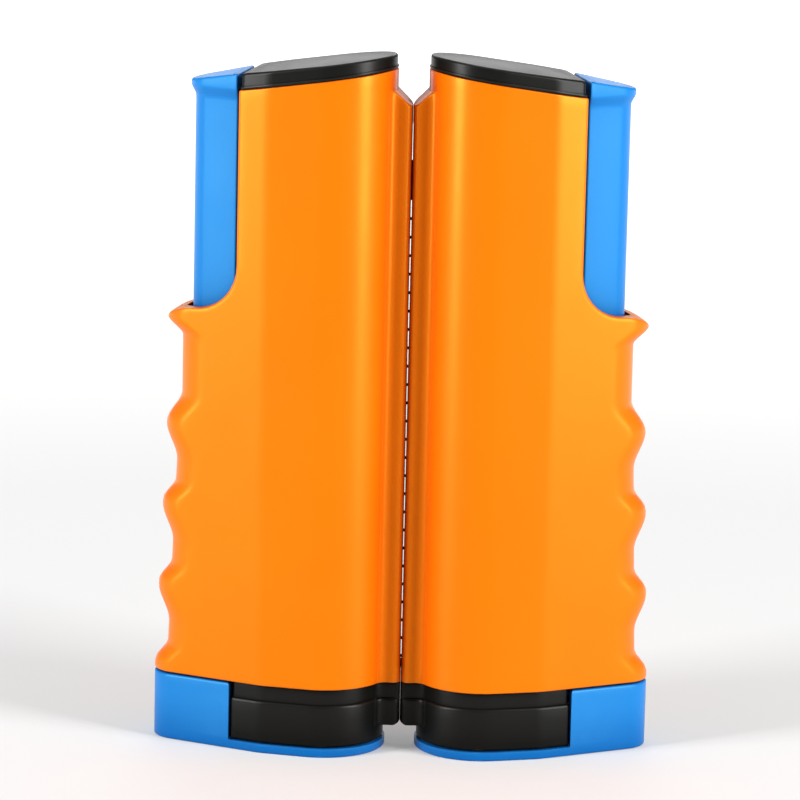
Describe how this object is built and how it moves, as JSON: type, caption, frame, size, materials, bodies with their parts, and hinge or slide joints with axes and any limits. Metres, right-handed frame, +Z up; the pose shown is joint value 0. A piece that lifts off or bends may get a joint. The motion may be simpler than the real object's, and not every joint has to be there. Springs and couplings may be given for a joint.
{
  "type": "table tennis net clamp",
  "caption": "Pair of hand-held table tennis net clamps with sprung jaws, thumb levers and finger grips, holding a retractable net on reels.",
  "frame": {"origin": "centre of the pair's bounding box, on the surface it stands on", "axes": "+X across the pair from the left post to the right, +Y to the back, +Z up along the posts"},
  "size_m": [0.1402, 0.0368, 0.1974],
  "materials": {
    "orange_abs": "semi-gloss moulded ABS",
    "blue_abs": "satin moulded ABS",
    "black_abs": "fine-textured moulded ABS",
    "rubber": "ribbed soft rubber",
    "steel": "zinc-plated steel",
    "spring_steel": "drawn spring steel",
    "white_acetal": "smooth acetal",
    "net": "knotless nylon mesh with a woven edge tape"
  },
  "bodies": {
    "left_post": {"left_shell_front": "orange_abs", "left_shell_back": "orange_abs", "left_shell_screws": "steel", "left_top_cap": "black_abs", "left_base_cap": "black_abs", "left_upper_jaw": "black_abs", "left_upper_pad": "rubber", "left_axle_bracket": "black_abs", "left_reel_axle": "steel", "left_spring_guide": "steel", "left_return_spring": "spring_steel", "left_net_web": "net"},
    "left_clamp": {"left_lever": "blue_abs", "left_lower_jaw": "blue_abs", "left_lower_pad": "rubber", "left_jaw_screws": "steel"},
    "left_reel": {"left_reel_spool": "white_acetal", "left_spring_drum": "black_abs", "left_retract_spring": "spring_steel", "left_net_roll": "net"},
    "right_post": {"right_shell_front": "orange_abs", "right_shell_back": "orange_abs", "right_shell_screws": "steel", "right_top_cap": "black_abs", "right_base_cap": "black_abs", "right_upper_jaw": "black_abs", "right_upper_pad": "rubber", "right_axle_bracket": "black_abs", "right_reel_axle": "steel", "right_spring_guide": "steel", "right_return_spring": "spring_steel", "right_net_web": "net"},
    "right_clamp": {"right_lever": "blue_abs", "right_lower_jaw": "blue_abs", "right_lower_pad": "rubber", "right_jaw_screws": "steel"},
    "right_reel": {"right_reel_spool": "white_acetal", "right_spring_drum": "black_abs", "right_retract_spring": "spring_steel", "right_net_roll": "net"}
  },
  "joints": [
    {"name": "left_clamp_slide", "type": "slide", "parent": "left_post", "child": "left_clamp", "axis": [0, 0, -1], "range_m": [0, 0.05], "stiffness_N_per_m": 300, "springref_m": -0.05, "deforming": ["left_return_spring"]},
    {"name": "right_clamp_slide", "type": "slide", "parent": "right_post", "child": "right_clamp", "axis": [0, 0, -1], "range_m": [0, 0.05], "stiffness_N_per_m": 300, "springref_m": -0.05, "deforming": ["right_return_spring"]},
    {"name": "net_pull", "type": "slide", "parent": "left_post", "child": "right_post", "axis": [1, 0, 0], "range_m": [0, 1.6], "stiffness_N_per_m": 1, "springref_m": -4},
    {"name": "left_reel_spin", "type": "hinge", "parent": "left_post", "child": "left_reel", "pos_m": [-0.02222, -0.0004, 0.1], "axis": [0, 0, 1], "range_deg": [-5400, 0]},
    {"name": "right_reel_spin", "type": "hinge", "parent": "right_post", "child": "right_reel", "pos_m": [0.02222, -0.0004, 0.1], "axis": [0, 0, 1], "range_deg": [0, 5400]}
  ],
  "couplings": [
    {"joint": "left_reel_spin", "follows": "net_pull", "rad_per_m": -58.8},
    {"joint": "right_reel_spin", "follows": "net_pull", "rad_per_m": 58.8}
  ]
}
